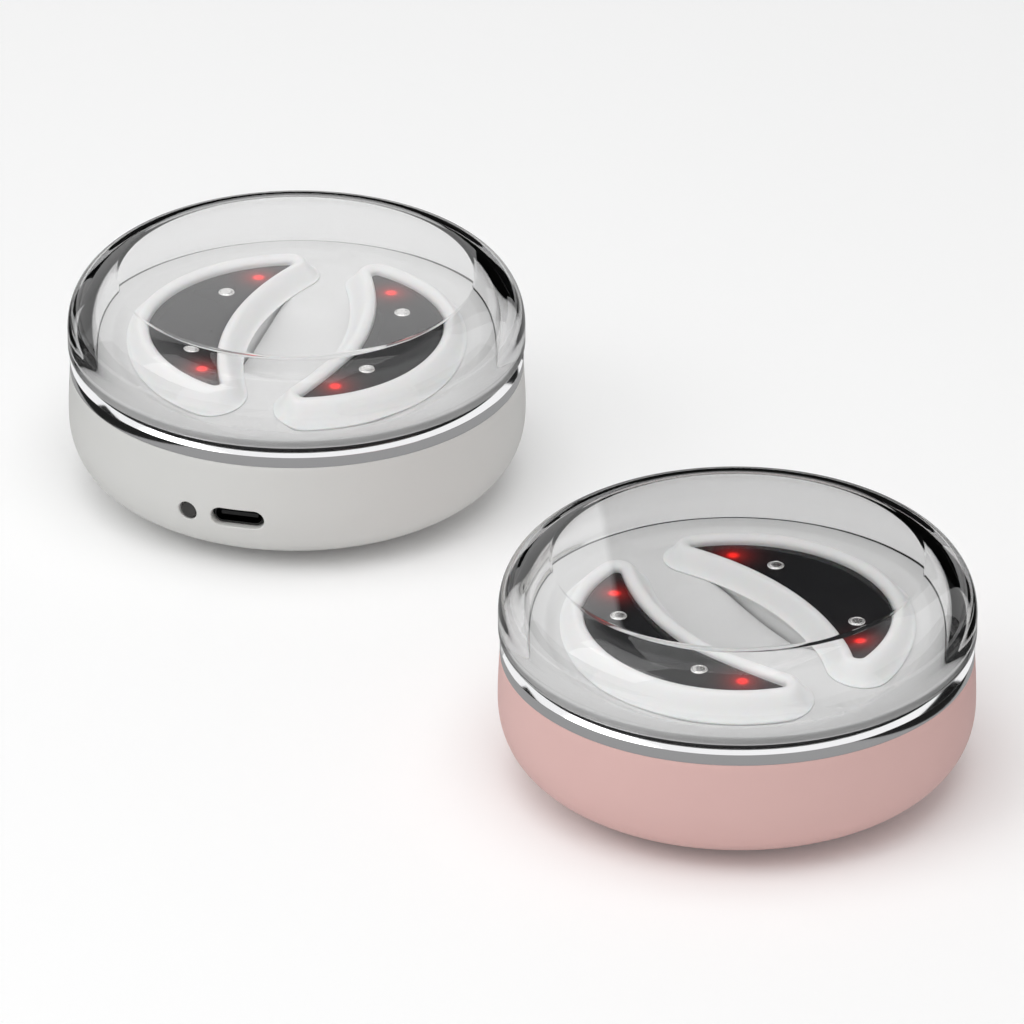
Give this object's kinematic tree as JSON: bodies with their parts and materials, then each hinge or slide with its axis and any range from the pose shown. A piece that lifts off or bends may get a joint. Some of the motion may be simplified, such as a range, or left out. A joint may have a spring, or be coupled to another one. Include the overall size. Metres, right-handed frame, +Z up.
{
  "type": "red light eye pod sets",
  "caption": "Round charging cases, each with crescent red light eye pods lying in a tray under a clear lift-off lid, with a side socket and push button.",
  "frame": {"origin": "centre of the pair's footprint on the table, halfway between the two cases", "axes": "+X runs from the white case to the pink case, +Z is up, and -Y is the side that the sockets and buttons face before each case is turned"},
  "size_m": [0.2106, 0.0806, 0.0404],
  "materials": {
    "shell_white": "satin",
    "shell_pink": "satin",
    "foot_rubber": "matte",
    "ring_metal": "polished",
    "gasket_rubber": "matte",
    "clear_plastic": "clear and polished",
    "tray_plastic": "satin",
    "circuit_board": "satin",
    "battery_foil": "foil",
    "socket_steel": "satin",
    "button_plastic": "satin",
    "screw_steel": "satin",
    "contact_gold": "polished",
    "magnet_nickel": "satin",
    "cushion_silicone": "satin",
    "pod_plastic": "satin",
    "window_smoke": "gloss",
    "led_red": "gloss",
    "electrode_metal": "polished"
  },
  "bodies": {
    "white_case": {"white_base_shell": "shell_white", "white_foot_ring": "foot_rubber", "white_chrome_ring": "ring_metal", "white_gasket": "gasket_rubber", "white_tray": "tray_plastic", "white_main_board": "circuit_board", "white_battery": "battery_foil", "white_usb_socket": "socket_steel", "white_board_screws": "screw_steel", "white_charge_studs": "contact_gold", "white_tray_magnets": "magnet_nickel"},
    "white_lid": {"white_lid": "clear_plastic"},
    "white_button": {"white_side_button": "button_plastic"},
    "white_left_pod": {"white_left_pod_cushion": "cushion_silicone", "white_left_pod_back": "pod_plastic", "white_left_pod_window": "window_smoke", "white_left_pod_leds": "led_red", "white_left_pod_electrodes": "electrode_metal", "white_left_pod_board": "circuit_board", "white_left_pod_battery": "battery_foil", "white_left_pod_pads": "contact_gold"},
    "white_right_pod": {"white_right_pod_cushion": "cushion_silicone", "white_right_pod_back": "pod_plastic", "white_right_pod_window": "window_smoke", "white_right_pod_leds": "led_red", "white_right_pod_electrodes": "electrode_metal", "white_right_pod_board": "circuit_board", "white_right_pod_battery": "battery_foil", "white_right_pod_pads": "contact_gold"},
    "pink_case": {"pink_base_shell": "shell_pink", "pink_foot_ring": "foot_rubber", "pink_chrome_ring": "ring_metal", "pink_gasket": "gasket_rubber", "pink_tray": "tray_plastic", "pink_main_board": "circuit_board", "pink_battery": "battery_foil", "pink_usb_socket": "socket_steel", "pink_board_screws": "screw_steel", "pink_charge_studs": "contact_gold", "pink_tray_magnets": "magnet_nickel"},
    "pink_lid": {"pink_lid": "clear_plastic"},
    "pink_button": {"pink_side_button": "button_plastic"},
    "pink_left_pod": {"pink_left_pod_cushion": "cushion_silicone", "pink_left_pod_back": "pod_plastic", "pink_left_pod_window": "window_smoke", "pink_left_pod_leds": "led_red", "pink_left_pod_electrodes": "electrode_metal", "pink_left_pod_board": "circuit_board", "pink_left_pod_battery": "battery_foil", "pink_left_pod_pads": "contact_gold"},
    "pink_right_pod": {"pink_right_pod_cushion": "cushion_silicone", "pink_right_pod_back": "pod_plastic", "pink_right_pod_window": "window_smoke", "pink_right_pod_leds": "led_red", "pink_right_pod_electrodes": "electrode_metal", "pink_right_pod_board": "circuit_board", "pink_right_pod_battery": "battery_foil", "pink_right_pod_pads": "contact_gold"}
  },
  "joints": [
    {"name": "white_lid_lift", "type": "slide", "parent": "white_case", "child": "white_lid", "axis": [0, 0, 1], "range_m": [0, 0.06]},
    {"name": "white_left_pod_lift", "type": "slide", "parent": "white_case", "child": "white_left_pod", "axis": [0, 0, 1], "range_m": [0, 0.007]},
    {"name": "white_right_pod_lift", "type": "slide", "parent": "white_case", "child": "white_right_pod", "axis": [0, 0, 1], "range_m": [0, 0.007]},
    {"name": "white_button_press", "type": "slide", "parent": "white_case", "child": "white_button", "axis": [-0.4493, 0.8934, 0], "range_m": [0, 0.0004], "stiffness_N_per_m": 1200},
    {"name": "pink_case_lift", "type": "slide", "parent": "white_case", "child": "pink_case", "axis": [0, 0, 1], "range_m": [0, 0.06]},
    {"name": "pink_lid_lift", "type": "slide", "parent": "pink_case", "child": "pink_lid", "axis": [0, 0, 1], "range_m": [0, 0.06]},
    {"name": "pink_left_pod_lift", "type": "slide", "parent": "pink_case", "child": "pink_left_pod", "axis": [0, 0, 1], "range_m": [0, 0.007]},
    {"name": "pink_right_pod_lift", "type": "slide", "parent": "pink_case", "child": "pink_right_pod", "axis": [0, 0, 1], "range_m": [0, 0.007]},
    {"name": "pink_button_press", "type": "slide", "parent": "pink_case", "child": "pink_button", "axis": [0.9646, -0.2639, 0], "range_m": [0, 0.0004], "stiffness_N_per_m": 1200}
  ]
}
